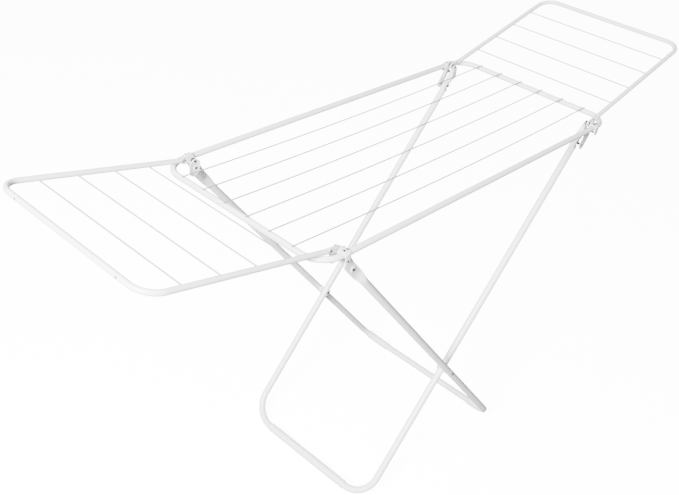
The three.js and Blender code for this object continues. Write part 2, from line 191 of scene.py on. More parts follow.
def add_noise(material, scale, detail=3.0, stretch=(1, 1, 1)):
    """Noise of the given scale per metre over the object's own coordinates, stretched along an axis."""
    nodes = material.node_tree.nodes
    links = material.node_tree.links
    place = nodes.new("ShaderNodeTexCoord")
    turn = nodes.new("ShaderNodeMapping")
    turn.inputs["Scale"].default_value = stretch
    noise = nodes.new("ShaderNodeTexNoise")
    noise.inputs["Scale"].default_value = scale
    noise.inputs["Detail"].default_value = detail
    links.new(place.outputs["Object"], turn.inputs["Vector"])
    links.new(turn.outputs["Vector"], noise.inputs["Vector"])
    return noise.outputs["Fac"]


def spread(material, source, low, high, to_low, to_high):
    """Carries a value from one span to another, clamped."""
    nodes = material.node_tree.nodes
    span = nodes.new("ShaderNodeMapRange")
    for name, value in (("From Min", low), ("From Max", high), ("To Min", to_low), ("To Max", to_high)):
        span.inputs[name].default_value = value
    material.node_tree.links.new(source, span.inputs["Value"])
    return span.outputs["Result"]


def blend_colours(material, factor, first, second):
    """Mixes two colours, or sockets, by a factor."""
    mix = material.node_tree.nodes.new("ShaderNodeMix")
    mix.data_type = "RGBA"
    links = material.node_tree.links
    links.new(factor, mix.inputs["Factor"])
    for socket, colour in ((mix.inputs[6], first), (mix.inputs[7], second)):
        if isinstance(colour, tuple):
            socket.default_value = (*colour, 1)
        else:
            links.new(colour, socket)
    return mix.outputs[2]


def add_relief(material, shader, layers):
    """Stacks bumps on the shader's normal. Each layer is (height socket, strength, distance)."""
    nodes = material.node_tree.nodes
    links = material.node_tree.links
    below = None
    for height, strength, distance in layers:
        bump = nodes.new("ShaderNodeBump")
        bump.inputs["Strength"].default_value = strength
        bump.inputs["Distance"].default_value = distance
        links.new(height, bump.inputs["Height"])
        if below is not None:
            links.new(below, bump.inputs["Normal"])
        below = bump.outputs["Normal"]
    links.new(below, shader.inputs["Normal"])


def height_above_floor(material):
    """The object's own height, in metres."""
    nodes = material.node_tree.nodes
    place = nodes.new("ShaderNodeTexCoord")
    split = nodes.new("ShaderNodeSeparateXYZ")
    material.node_tree.links.new(place.outputs["Object"], split.inputs["Vector"])
    return split.outputs["Z"]


def powder_coat(name, pale, worn, peel):
    """White powder coat: orange-peel relief, cloudy gloss, faint rub marks, and a greying low down that is
    partly dust and partly painted shade near the floor.
    """
    material, shader = new_material(name, pale, 0.36)
    links = material.node_tree.links
    cloud = spread(material, add_noise(material, 7, 4), 0.35, 0.7, 0, 1)
    shade = blend_colours(material, cloud, pale, tuple(0.97 * part for part in pale))
    rub = spread(material, add_noise(material, 46, 6, (1, 1, 0.35)), 0.66, 0.74, 0, 0.3)
    shade = blend_colours(material, rub, shade, worn)
    # Dust and painted shade: the coat greys towards the floor over its lowest 12 cm
    dust_and_floor_shade = spread(material, height_above_floor(material), 0.0, 0.12, 0.18, 0)
    shade = blend_colours(material, dust_and_floor_shade, shade, (0.7, 0.69, 0.67))
    links.new(shade, shader.inputs["Base Color"])
    gloss = spread(material, add_noise(material, 60, 3), 0.3, 0.7, 0.3, 0.44)
    links.new(gloss, shader.inputs["Roughness"])
    add_relief(material, shader, [
        (add_noise(material, peel, 2), 0.22, 0.00025),
        (add_noise(material, peel / 7, 2), 0.14, 0.0004),
    ])
    shader.inputs["Coat Weight"].default_value = 0.25
    shader.inputs["Coat Roughness"].default_value = 0.18
    return material


def moulded_plastic(name, pale, low_tone):
    """Satin white plastic: fine spark-eroded grain, soft flow clouds, and a grey tone that grows darker
    towards the floor.
    """
    material, shader = new_material(name, pale, 0.48)
    links = material.node_tree.links
    cloud = spread(material, add_noise(material, 24, 3), 0.3, 0.75, 0, 1)
    shade = blend_colours(material, cloud, pale, tuple(0.96 * part for part in pale))
    # Darker towards the floor over the lowest 14 mm
    low = spread(material, height_above_floor(material), 0.0, 0.014, 0.55, 0)
    shade = blend_colours(material, low, shade, low_tone)
    links.new(shade, shader.inputs["Base Color"])
    gloss = spread(material, add_noise(material, 140, 3), 0.3, 0.7, 0.4, 0.56)
    links.new(gloss, shader.inputs["Roughness"])
    add_relief(material, shader, [
        (add_noise(material, 2600, 2), 0.3, 0.00012),
        (add_noise(material, 120, 2), 0.1, 0.0003),
    ])
    shader.inputs["Subsurface Weight"].default_value = 0.06
    shader.inputs["Subsurface Scale"].default_value = 0.002
    return material


def plated_steel(name, base, dull, roughness):
    """Zinc-plated steel: fine turned scratches, blotchy passivation and uneven gloss."""
    material, shader = new_material(name, base, roughness)
    links = material.node_tree.links
    shader.inputs["Metallic"].default_value = 1
    blotch = spread(material, add_noise(material, 210, 5), 0.35, 0.7, 0, 1)
    links.new(blend_colours(material, blotch, base, dull), shader.inputs["Base Color"])
    gloss = spread(material, add_noise(material, 500, 3), 0.3, 0.7, roughness - 0.08, roughness + 0.12)
    links.new(gloss, shader.inputs["Roughness"])
    add_relief(material, shader, [(add_noise(material, 3200, 2, (1, 0.15, 1)), 0.35, 0.00008)])
    return material


def black_rubber(name):
    """Matt rubber of the small plugs, with a fine grain and a pale bloom in places."""
    material, shader = new_material(name, (0.03, 0.03, 0.032), 0.7)
    links = material.node_tree.links
    bloom = spread(material, add_noise(material, 300, 4), 0.5, 0.8, 0, 0.5)
    shade = blend_colours(material, bloom, (0.03, 0.03, 0.032), (0.09, 0.09, 0.09))
    links.new(shade, shader.inputs["Base Color"])
    add_relief(material, shader, [(add_noise(material, 2400, 2), 0.3, 0.0001)])
    return material


# Surfaces

def ring_shell(rings, loop=False, flat_ends=False):
    """Closed skin over an array of rings, rings x sides x 3. Neighbouring rings are joined by quads.
    The two ends are closed by a fan to their middle, or by one flat face, unless the rings make a loop."""
    rings = np.asarray(rings, float)
    rows, sides = rings.shape[:2]
    row, side = np.meshgrid(np.arange(rows if loop else rows - 1), np.arange(sides), indexing="ij")
    ahead = (row + 1) % rows
    beside = (side + 1) % sides
    quads = np.stack([
        row * sides + side, row * sides + beside, ahead * sides + beside, ahead * sides + side,
    ], -1)
    points = rings.reshape(-1, 3)
    faces = quads.reshape(-1, 4).tolist()
    if not loop:
        last = (rows - 1) * sides
        if flat_ends:
            faces.append(list(range(sides - 1, -1, -1)))
            faces.append(list(range(last, last + sides)))
        else:
            middle = len(points)
            points = np.vstack([points, rings[0].mean(0), rings[-1].mean(0)])
            i = np.arange(sides)
            j = (i + 1) % sides
            faces += np.stack([np.full(sides, middle), j, i], -1).tolist()
            faces += np.stack([np.full(sides, middle + 1), last + i, last + j], -1).tolist()
    return points, turned_out(points, faces)


def turned_out(points, faces):
    """The same faces, reversed if the volume they hold comes out negative."""
    volume = 0.0
    for count in {len(face) for face in faces}:
        same = np.array([face for face in faces if len(face) == count])
        for k in range(1, count - 1):
            a, b, c = points[same[:, 0]], points[same[:, k]], points[same[:, k + 1]]
            volume += float(np.einsum("ij,ij->", a, np.cross(b, c)))
    return faces if volume > 0 else [face[::-1] for face in faces]


def moved(skin, shift):
    """A skin moved by a vector."""
    return skin[0] + np.asarray(shift, float), skin[1]


def laid(skin, origin, angle, mirror=False):
    """Turns a skin about Y so that its X runs at an angle above the horizon, then moves it to (x, z)."""
    points = skin[0]
    turned = np.stack([
        points[:, 0] * math.cos(angle) - points[:, 2] * math.sin(angle),
        points[:, 1],
        points[:, 0] * math.sin(angle) + points[:, 2] * math.cos(angle),
    ], -1)
    if mirror:
        turned[:, 0] *= -1
    turned += np.array([origin[0], 0, origin[1]])
    return turned, turned_out(turned, skin[1])


def other_side(skin):
    """A skin mirrored to the front side of the rack."""
    points = skin[0] * np.array([1, -1, 1])
    return points, turned_out(points, skin[1])


def smooth_step(value, low, high):
    """0 below low, 1 above high, and an S curve between."""
    t = np.clip((value - low) / (high - low), 0, 1)
    return t * t * (3 - 2 * t)


def tube(path, across, up, power=2.0, dish=0.0, sides=36, loop=False):
    """Tube along a flat path in XY. Its section at each station is a superellipse with half sizes
    across and up: cosine and sine to the power 2/power. dish hollows the two broad faces."""
    path = np.asarray(path, float)
    count = len(path)
    if loop:
        heading = np.roll(path, -1, 0) - np.roll(path, 1, 0)
    else:
        heading = np.gradient(path, axis=0)
    heading /= np.linalg.norm(heading, axis=1)[:, None]
    beside = np.stack([-heading[:, 1], heading[:, 0], np.zeros(count)], -1)
    angle = np.linspace(0, 2 * math.pi, sides, endpoint=False)
    power = np.broadcast_to(np.asarray(power, float), (count,))[:, None]
    flat = np.sign(np.cos(angle)) * np.abs(np.cos(angle)) ** (2 / power)
    tall = np.sign(np.sin(angle)) * np.abs(np.sin(angle)) ** (2 / power)
    flat = flat * (1 - np.broadcast_to(dish, (count,))[:, None] * (1 - tall ** 2))
    across = np.broadcast_to(across, (count,))[:, None, None]
    up = np.broadcast_to(up, (count,))[:, None, None]
    rings = path[:, None, :] + beside[:, None, :] * flat[..., None] * across
    rings = rings + np.array([0, 0, 1.0]) * tall[..., None] * up
    return ring_shell(rings, loop)


def u_path(tip, bar, width, corner, arm_steps, bend_steps=26):
    """Stations of a U: arms along X from tip to the bends, and a bar along Y at bar. The bends are
    quarter circles. arm_steps are distances from the tip."""
    half = width / 2
    steps = tip + np.asarray(arm_steps, float)
    arm = np.stack([steps, np.full(len(steps), -half), np.zeros(len(steps))], -1)
    angle = np.linspace(0, math.pi / 2, bend_steps)
    bend = np.stack([
        bar - corner + corner * np.sin(angle),
        -(half - corner + corner * np.cos(angle)),
        np.zeros(bend_steps),
    ], -1)
    bar_steps = np.linspace(-(half - corner), half - corner, 12)[1:-1]
    run = np.stack([np.full(10, bar), bar_steps, np.zeros(10)], -1)
    side = np.vstack([arm, bend])
    return np.vstack([side, run, (side * np.array([1, -1, 1]))[::-1]])


def pressed_u(tip, bar, width, corner, radius, tab, tab_y, thickness):
    """A U whose tips are pressed flat. The press goes from 1 on the flat to 0 past its blend, on an S
    curve, and carries the section from a circle to a tall flat bar with a round end."""
    tab_width, flat, blend = tab
    steps = np.concatenate([
        tab_width / 2 * (1 - np.cos(np.linspace(0.08, math.pi / 2, 12))),
        np.linspace(tab_width / 2, flat, 8)[1:],
        np.linspace(flat, flat + blend, 22)[1:],
        np.linspace(flat + blend, bar - corner - tip, 14)[1:-1],
    ])
    path = u_path(tip, bar, width, corner, steps)
    from_tip = np.where(np.abs(path[:, 1]) >= width / 2 - 1e-6, path[:, 0] - tip, 1e9)
    press = 1 - smooth_step(from_tip, flat, flat + blend)
    path[:, 1] = np.sign(path[:, 1]) * (np.abs(path[:, 1]) + press * (tab_y - width / 2))
    inset = np.clip(tab_width / 2 - from_tip, 0, None) / (tab_width / 2)
    rounding = np.sqrt(np.clip(1 - inset ** 2, 0.01, 1))
    across = radius + press * (thickness / 2 - radius)
    up = (radius + press * (tab_width / 2 - radius)) * rounding
    return tube(path, across, up, 2 + 3.5 * press, 0.3 * press * rounding)


def bar_along(axis, start, end, radius, lip=0.6, sides=32):
    """A round bar along Y at (x, z) from start to end, its edges rounded by lip: rings whose radius
    falls by lip times one minus the sine while they step in by lip times one minus the cosine."""
    turn = np.linspace(0, math.pi / 2, 5)
    inward = lip * (1 - np.sin(turn))
    step = lip * (1 - np.cos(turn))
    radii = np.concatenate([radius - inward, (radius - inward)[::-1]])
    places = np.concatenate([start + step, (end - step)[::-1]])
    return turned_bar(axis, radii, places, sides)


def turned_bar(axis, radii, places, sides=32):
    """A turned solid about a line along Y through axis = (x, z): one ring of each radius at each y."""
    angle = np.linspace(0, 2 * math.pi, sides, endpoint=False)
    radii = np.asarray(radii, float)[:, None]
    rings = np.stack([
        axis[0] + radii * np.cos(angle),
        np.broadcast_to(np.asarray(places, float)[:, None], (len(radii), sides)),
        axis[1] + radii * np.sin(angle),
    ], -1)
    return ring_shell(rings)


def domed(radius, rise, base, way):
    """Ring radii and places of a dome on a pin's end, from its rim to its crown: radius times the
    cosine and rise times the sine, along way."""
    turn = np.linspace(0, 1.45, 8)
    return radius * np.cos(turn), base + way * rise * np.sin(turn)


def rivet(axis, stations, low_dome, high_dome):
    """A pin from (radius, y) stations, with a dome at each end as (radius, rise)."""
    low_radii, low_places = domed(*low_dome, stations[0][1], -1)
    high_radii, high_places = domed(*high_dome, stations[-1][1], 1)
    radii = [*low_radii[::-1], *[s[0] for s in stations], *high_radii]
    places = [*low_places[::-1], *[s[1] for s in stations], *high_places]
    return turned_bar(axis, radii, places)


def pebble(middle, radii, rows=10, sides=20):
    """An ellipsoid, as a weld bead: circles of latitude with the given half sizes."""
    latitude = np.linspace(0.12, math.pi - 0.12, rows)[:, None]
    angle = np.linspace(0, 2 * math.pi, sides, endpoint=False)
    rings = np.stack([
        middle[0] + radii[0] * np.sin(latitude) * np.cos(angle),
        middle[1] + radii[1] * np.sin(latitude) * np.sin(angle),
        middle[2] + radii[2] * np.cos(latitude) * np.ones(sides),
    ], -1)
    return ring_shell(rings)


def link_outline(a, b, count=56):
    """Outline round two circles given as (x, z, r): an arc of each, joined by their outer tangents."""
    heading = math.atan2(b[1] - a[1], b[0] - a[0])
    spread_angle = math.acos((a[2] - b[2]) / math.hypot(b[0] - a[0], b[1] - a[1]))
    first = np.linspace(heading + spread_angle, heading - spread_angle + 2 * math.pi, count // 2)
    second = np.linspace(heading - spread_angle, heading + spread_angle, count // 2)
    return np.vstack([
        np.stack([a[0] + a[2] * np.cos(first), a[1] + a[2] * np.sin(first)], -1),
        np.stack([b[0] + b[2] * np.cos(second), b[1] + b[2] * np.sin(second)], -1),
    ])


def pressed_plate(outline, face, thickness, edge=0.5, rim=0.0):
    """A plate on an outline in XZ, from y = face, edges rounded by quarter circles of radius edge.
    A rim above 0 sinks the middle of both faces by that much, 2.5 mm in from the edge."""
    along = np.roll(outline, -1, 0) - np.roll(outline, 1, 0)
    along /= np.linalg.norm(along, axis=1)[:, None]
    inward = np.stack([-along[:, 1], along[:, 0]], -1)
    middle = outline.mean(0)
    if np.sum(inward * (middle - outline)) < 0:
        inward = -inward
    turn = np.linspace(0, math.pi / 2, 5)
    insets = edge * (1 - np.sin(turn))
    steps = edge * (1 - np.cos(turn))
    rows = [(i, face + s) for i, s in zip(insets, steps)]
    rows += [(i, face + thickness - s) for i, s in zip(insets[::-1], steps[::-1])]
    if rim > 0:
        rows = [(3.6, face + rim), (2.4, face + 0.15 * rim), (2.0, face), *rows,
                (2.0, face + thickness), (2.4, face + thickness + 0.15 * rim), (3.6, face + thickness + rim)]
    flat = [outline + inset * inward for inset, _ in rows]
    rings = np.stack([np.stack([o[:, 0], np.full(len(o), y), o[:, 1]], -1) for o, (_, y) in zip(flat, rows)])
    return ring_shell(rings)


def rail_strap(middle, width=18):
    """Sheet strap over the rail: a flat section with rounded corners, carried from -15 to 195 degrees
    round the rail at its radius plus half the sheet, with its two free edges turned down."""
    angle = np.radians(np.linspace(-15, 195, 44))
    turn = np.linspace(0, 2 * math.pi, 24, endpoint=False)
    along = np.sign(np.cos(turn)) * np.abs(np.cos(turn)) ** 0.25 * width / 2
    radial = np.sign(np.sin(turn)) * np.abs(np.sin(turn)) ** 0.5 * SHEET / 2
    reach = FRAME_TUBE / 2 + STRAP_GAP + SHEET / 2 + radial
    rings = np.stack([
        np.broadcast_to(middle + along, (44, 24)),
        FRAME_WIDTH / 2 + reach * np.cos(angle)[:, None],
        RAIL_HEIGHT + reach * np.sin(angle)[:, None],
    ], -1)
    return ring_shell(rings)


def make_piece(name, skins, body, stands_for, materials, sharp=32):
    """One mesh from several skins, each (points, faces) or (points, faces, material number)."""
    points = []
    faces = []
    finish = []
    for skin in skins:
        start = sum(len(p) for p in points)
        points.append(skin[0])
        faces += [[start + i for i in face] for face in skin[1]]
        finish += [skin[2] if len(skin) > 2 else 0] * len(skin[1])
    mesh = bpy.data.meshes.new(name)
    mesh.from_pydata((np.vstack(points) * MM).tolist(), [], faces)
    mesh.polygons.foreach_set("material_index", finish)
    for material in materials:
        mesh.materials.append(material)
    mesh.shade_smooth()
    mesh.set_sharp_from_angle(angle=math.radians(sharp))
    mesh.update()
    piece = bpy.data.objects.new(name, mesh)
    bpy.context.scene.collection.objects.link(piece)
    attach(piece, body)
    if stands_for:
        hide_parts(*stands_for)
    return piece


set_camera()
set_room()

coat = powder_coat("coat_on_tube", (0.86, 0.86, 0.855), (0.6, 0.6, 0.6), 900)
sheet_coat = powder_coat("coat_on_sheet", (0.86, 0.86, 0.855), (0.5, 0.5, 0.5), 1100)
# The wires are white like the tubes, but take a dark grey coat as painted shade: it stands in for the shaded
# side of the thin wires, so that they show against the white floor
wire_coat_painted_shade = powder_coat("coat_on_wire_painted_shade", (0.3, 0.3, 0.3), (0.22, 0.22, 0.22), 1500)
plastic = moulded_plastic("foot_plastic", (0.84, 0.84, 0.835), (0.45, 0.44, 0.42))
steel = plated_steel("dark_pins", (0.13, 0.13, 0.135), (0.07, 0.07, 0.072), 0.38)
bare_steel = plated_steel("cut_wire_ends", (0.2, 0.2, 0.2), (0.12, 0.12, 0.12), 0.5)
rubber = black_rubber("plug_rubber")


# Top frame

def frame_loop():
    """Rounded rectangle at rail height: quarter circles joined by straight runs, as a closed loop."""
    half_length = FRAME_LENGTH / 2 - FRAME_CORNER
    half_width = FRAME_WIDTH / 2 - FRAME_CORNER
    runs = []
    for k, (sx, sy) in enumerate(((1, 1), (-1, 1), (-1, -1), (1, -1))):
        angle = np.linspace(k * math.pi / 2, (k + 1) * math.pi / 2, 26)
        runs.append(np.stack([
            sx * half_length + FRAME_CORNER * np.cos(angle),
            sy * half_width + FRAME_CORNER * np.sin(angle),
            np.zeros(26),
        ], -1))
        following = ((-1, 1), (-1, -1), (1, -1), (1, 1))[k]
        start = runs[-1][-1]
        end_angle = (k + 1) * math.pi / 2
        end = np.array([
            following[0] * half_length + FRAME_CORNER * math.cos(end_angle),
            following[1] * half_width + FRAME_CORNER * math.sin(end_angle),
            0,
        ])
        way = np.linspace(0, 1, 16)[1:-1, None]
        runs.append(start + (end - start) * way)
    return moved(tube(np.vstack(runs), FRAME_TUBE / 2, FRAME_TUBE / 2, loop=True), (0, 0, RAIL_HEIGHT))


make_piece("top_frame", [frame_loop()], "frame",
           ["frame_tube_left", "frame_tube_right"], [coat])


def long_wire(y):
    """A wire over both end bars with a parabolic sag between, its cut ends, and a weld at each bar."""
    half = FRAME_LENGTH / 2
    rest = RAIL_HEIGHT + FRAME_TUBE / 2 + WIRE / 2
    x = np.concatenate([[-half - 4], np.linspace(-half, half, 61), [half + 4]])
    sag = FRAME_WIRE_SAG * np.clip(1 - (x / half) ** 2, 0, None)
    angle = np.linspace(0, 2 * math.pi, 16, endpoint=False)
    rings = np.stack([
        np.broadcast_to(x[:, None], (len(x), 16)),
        y + WIRE / 2 * np.cos(angle) * np.ones((len(x), 1)),
        (rest - sag)[:, None] + WIRE / 2 * np.sin(angle),
    ], -1)
    skins = [ring_shell(rings)]
    for side in (-1, 1):
        skins.append(pebble((side * (half + 0.6), y, rest - 1.2), (3.6, 2.5, 1.5)))
        skins.append((*turned_along_x(side * (half + 3.7), y, rest, 1.3, side * 0.42), 1))
    return skins


def turned_along_x(start, y, z, radius, length):
    """A short disc along X, the bare face of a cut wire."""
    angle = np.linspace(0, 2 * math.pi, 16, endpoint=False)
    radii = np.array([radius, radius, radius * 0.8])[:, None]
    places = np.array([start, start + 0.85 * length, start + length])[:, None]
    rings = np.stack([
        np.broadcast_to(places, (3, 16)),
        y + radii * np.cos(angle),
        z + radii * np.sin(angle),
    ], -1)
    return ring_shell(rings)


for i in range(1, FRAME_WIRES + 1):
    wire_y = FRAME_WIRE_PITCH * ((FRAME_WIRES + 1) / 2 - i)
    make_piece(f"long_wire_{i}", long_wire(wire_y), "frame",
               [f"frame_wire_{i}"], [wire_coat_painted_shade, bare_steel])


# Brackets at the four hinges

def hinge_group(side_name, side, lower, lower_radius, pin_name, pin_skin):
    """The plate and strap, cover, pins and strap rivets of one end of the frame, back and front."""
    pivot = (side * WING_PIVOT_X, WING_PIVOT_HEIGHT)
    stud = (side * 463, 886)
    strap_x = side * STRAP_X
    plate = pressed_plate(link_outline((*pivot, 12), (*lower, 12)), PLATE_FACE, SHEET)
    rib_from = np.array(pivot) + 0.36 * (np.array(lower) - np.array(pivot))
    rib_to = np.array(pivot) + 0.66 * (np.array(lower) - np.array(pivot))
    rib = pressed_plate(link_outline((*rib_from, 4.2), (*rib_to, 3.6)), PLATE_FACE - 0.9, SHEET, 0.9)
    cover = pressed_plate(
        link_outline((side * 464.5, 892, 15), (side * 465.5, 879, 14)), COVER_FACE, SHEET, 0.5, 0.5)
    bosses = [
        bar_along(axis, COVER_FACE - 0.6, COVER_FACE + 0.9, radius, 0.5)
        for axis, radius in ((pivot, 5.6), (stud, 5.0))
    ]
    wing_pin = rivet(pivot, [
        (3.1, COVER_FACE - 1.0), (3.1, COVER_FACE - 0.5), (3, COVER_FACE + SHEET),
        (5.5, COVER_FACE + SHEET + 0.2), (5.5, 222.3), (3, 222.4), (3, 227.6), (5.5, 227.7),
        (5.5, PLATE_FACE - 0.3), (3, PLATE_FACE - 0.2), (3, PLATE_FACE + SHEET),
    ], (3.1, 1.2), (3, 0.3))
    low_stud = rivet(stud, [
        (2.8, COVER_FACE - 1.0), (2.8, COVER_FACE - 0.5), (2.5, COVER_FACE + SHEET),
        (3.6, COVER_FACE + SHEET + 0.2), (3.6, PLATE_FACE - 0.3), (2.5, PLATE_FACE - 0.2),
        (2.5, PLATE_FACE + SHEET),
    ], (2.8, 1.1), (2.5, 0.3))
    outer_face = FRAME_WIDTH / 2 + FRAME_TUBE / 2 + 0.35
    tongue = pressed_plate(
        link_outline((strap_x, RAIL_HEIGHT - 3, 8.4), (strap_x, TONGUE_FOOT, 6.4)),
        outer_face, SHEET - 0.1, 0.5)
    lower_boss = bar_along(lower, PLATE_FACE - 1.3, PLATE_FACE + 0.3, 5.6, 0.6)
    tongue_rivet = rivet((strap_x, TONGUE_FOOT), [
        (2.4, PLATE_FACE + SHEET), (2.4, outer_face + SHEET - 0.1),
    ], (2.4, 0.4), (2.4, 0.9))
    top = RAIL_HEIGHT + FRAME_TUBE / 2 + STRAP_GAP + SHEET
    heads = [
        pebble((strap_x + step, FRAME_WIDTH / 2, top), (3.0, 3.0, 2.3)) for step in (-4.6, 4.6)
    ]
    for place, way in ENDS:
        skins = {
            "plate": [plate, rib, rail_strap(strap_x), tongue, lower_boss],
            "cover": [cover, *bosses],
            "pin": [wing_pin],
            "stud": [low_stud],
            "lower": [pin_skin],
            "heads": [*heads, tongue_rivet],
        }
        if way < 0:
            skins = {key: [other_side(skin) for skin in group] for key, group in skins.items()}
        make_piece(f"{side_name}_hinge_plate_{place}", skins["plate"], "frame",
                   [f"{side_name}_bracket_{place}"], [sheet_coat])
        make_piece(f"{side_name}_hinge_cover_{place}", skins["cover"], "frame",
                   [f"{side_name}_cover_{place}"], [sheet_coat])
        make_piece(f"{side_name}_pivot_pin_{place}", skins["pin"], "frame",
                   [f"{side_name}_wing_pin_{place}"], [steel])
        make_piece(f"{side_name}_lower_stud_{place}", skins["stud"], "frame",
                   [f"{side_name}_stud_{place}"], [steel])
        make_piece(f"{pin_name}_turned_{place}", skins["lower"], "frame",
                   [f"{pin_name}_{place}"], [steel])
        make_piece(f"{side_name}_strap_rivets_{place}", skins["heads"], "frame", [], [steel])


TAB_OUTER_FACE = 240.75
leg_pin = rivet(leg_pivot, [
    (3.4, PLATE_FACE), (3.4, TAB_OUTER_FACE), (3.4, TAB_OUTER_FACE + 1.1),
], (3.4, 0.4), (3.4, 1.2))
hook_pin = rivet(catch_pin, [
    (3.4, 206.2), (3.4, 207.6), (3, 207.9), (3, PLATE_FACE + SHEET),
], (3.4, 0.8), (3, 0.3))
hinge_group("left", -1, leg_pivot, 12, "leg_pin", leg_pin)
hinge_group("right", 1, catch_pin, 12, "catch_pin", hook_pin)


# Wings

def wing_skins():
    """One wing in its own frame: the U with pressed tips, two rubber plugs in its end bar, and a stop
    pin through each arm."""
    tab_width = 17
    body = pressed_u(-tab_width / 2, WING_REACH, WING_WIDTH, WING_CORNER, WING_TUBE / 2,
                     (tab_width, 28, 14), WING_WIDTH / 2, 4.4)
    plugs = [
        (*pebble((WING_REACH + WING_TUBE / 2 - 0.4, y, 0), (0.9, 2.4, 2.4)), 1) for y in (-155, 155)
    ]
    pins = [
        rivet((21, 0), [(2.2, WING_WIDTH / 2 - 2.3), (2.2, WING_WIDTH / 2 + 2.3)], (2.2, 0.9), (2.2, 0.9)),
    ]
    pins.append(other_side(pins[0]))
    return [body, *plugs, *[(*pin, 2) for pin in pins]]


def cross_wire(step):
    """A straight wire between the arms at a distance from the pivot, with a weld bead at each end."""
    end = WING_WIDTH / 2 - 4.6
    wire = bar_along((step, -WING_WIRE_DROP), -end, end, WIRE / 2, 0.2, 16)
    beads = [pebble((step, way * (end - 0.5), -WING_WIRE_DROP + 0.2), (2.5, 1.9, 2.2)) for way in (-1, 1)]
    return [wire, *beads]


def laid_all(skins, origin, angle, mirror=False):
    """Lays each skin, and keeps its material number."""
    return [(*laid(skin[:2], origin, angle, mirror), *skin[2:]) for skin in skins]


for side_name, tilt in WING_TILTS.items():
    left = side_name == "left"
    origin = (-WING_PIVOT_X if left else WING_PIVOT_X, WING_PIVOT_HEIGHT)
    wing_body = f"{side_name}_wing"
    make_piece(f"{side_name}_wing_loop", laid_all(wing_skins(), origin, tilt, left), wing_body,
               [f"{side_name}_wing_tube"], [coat, rubber, steel])
    for i in range(WING_WIRES):
        step = WING_FIRST_WIRE + WING_WIRE_PITCH * i
        make_piece(f"{side_name}_cross_wire_{i + 1}", laid_all(cross_wire(step), origin, tilt, left),
                   wing_body, [f"{side_name}_wing_wire_{i + 1}"], [wire_coat_painted_shade])


# Legs

outer_tab = (25, 53, 40)
outer_tip = -outer_top_reach - 33
outer_u = pressed_u(outer_tip, outer_foot_reach, OUTER_LEG_WIDTH, OUTER_LEG_CORNER, LEG_TUBE / 2,
                    outer_tab, 238.5, 4.5)
boss = bar_along((-outer_top_reach, 0), TAB_OUTER_FACE - 0.6, TAB_OUTER_FACE + 0.8, 7, 0.6)
outer_skins = [laid(skin, CROSSING, -outer_lean) for skin in (outer_u, boss, other_side(boss))]
make_piece("outer_leg_loop", outer_skins, "outer_leg", ["outer_leg_tube"], [coat])

PLUG_LENGTH = 15
inner_steps = np.linspace(0, inner_foot_reach - INNER_LEG_CORNER + inner_top_reach - PLUG_LENGTH, 16)[:-1]
inner_u = tube(
    u_path(PLUG_LENGTH - inner_top_reach, inner_foot_reach, INNER_LEG_WIDTH, INNER_LEG_CORNER, inner_steps),
    LEG_TUBE / 2, LEG_TUBE / 2)
make_piece("inner_leg_loop", [laid(inner_u, CROSSING, math.pi + inner_lean)], "inner_leg",
           ["inner_leg_tube"], [coat])

# Sockets on the right brackets, in line with the inner leg's arms
socket_steps = np.linspace(0, 1, 16)
socket_path = np.stack([
    -inner_top_reach - 12 - 38 * socket_steps,
    np.full(16, INNER_LEG_WIDTH / 2),
    np.zeros(16),
], -1)
socket_press = smooth_step(socket_steps, 0.25, 0.9)
near_lip = 0.12 * np.clip(1 - socket_steps / 0.07, 0, 1)
far_lip = 0.3 * np.clip((socket_steps - 0.93) / 0.07, 0, 1)
socket_lip = 1 - near_lip - far_lip
socket = laid(
    tube(socket_path, (9 - 4 * socket_press) * socket_lip, (9 + 2 * socket_press) * socket_lip,
         2 + 2 * socket_press),
    CROSSING, math.pi + inner_lean)
for place, way in ENDS:
    shown = socket if way > 0 else other_side(socket)
    make_piece(f"leg_socket_{place}", [shown], "frame", [], [sheet_coat])


# Feet

def soled(skin):
    """Flattens whatever lies below the floor onto it, as a moulded sole."""
    points = skin[0].copy()
    points[:, 2] = np.maximum(points[:, 2], 0)
    return points, skin[1]


def foot_cover(path, end_lip=2.2):
    """A moulded cover along a path: the foot radius, drawn in over the last few millimetres of each
    end by a quarter circle."""
    path = np.asarray(path, float)
    gaps = np.linalg.norm(np.diff(path, axis=0), axis=1)
    along = np.concatenate([[0], np.cumsum(gaps)])
    from_end = np.minimum(along, along[-1] - along)
    short = np.clip(1 - from_end / end_lip, 0, 1)
    radius = FOOT_RADIUS - end_lip * (1 - np.sqrt(1 - short ** 2))
    return tube(path, radius, radius, sides=40)


def eased(start, end, count=26):
    """Distances from start to end that crowd towards both ends."""
    way = (1 - np.cos(np.linspace(0, math.pi, count))) / 2
    lips = np.array([0.1, 0.3, 0.7, 1.4])
    between = start + lips[-1] + (end - start - 2 * lips[-1]) * way[1:-1]
    return np.concatenate([[start], start + lips, between, (end - lips)[::-1], [end]])


def shoe_path(side):
    """From part way round the outer leg's bend to just past it: the bend's circle, then the bar."""
    bar_end = OUTER_LEG_WIDTH / 2 - OUTER_LEG_CORNER
    arc = OUTER_LEG_CORNER * math.pi / 2
    along = eased(3 / 8 * arc, arc + 6, 40)
    angle = np.minimum(along, arc) / OUTER_LEG_CORNER
    return np.stack([
        outer_foot_reach - OUTER_LEG_CORNER + OUTER_LEG_CORNER * np.sin(angle),
        side * (bar_end + OUTER_LEG_CORNER * np.cos(angle) - np.clip(along - arc, 0, None)),
        np.zeros(len(along)),
    ], -1)


for place, way in ENDS:
    shoe = soled(laid(foot_cover(shoe_path(way)), CROSSING, -outer_lean))
    make_piece(f"corner_shoe_{place}", [shoe], "outer_leg",
               [f"outer_foot_{place}"], [plastic])


def bar_cover(start, end):
    """A cover on the inner leg's foot bar, from one y to another."""
    along = eased(start, end)
    path = np.stack([np.full(len(along), inner_foot_reach), along, np.zeros(len(along))], -1)
    return soled(laid(foot_cover(path), CROSSING, math.pi + inner_lean))


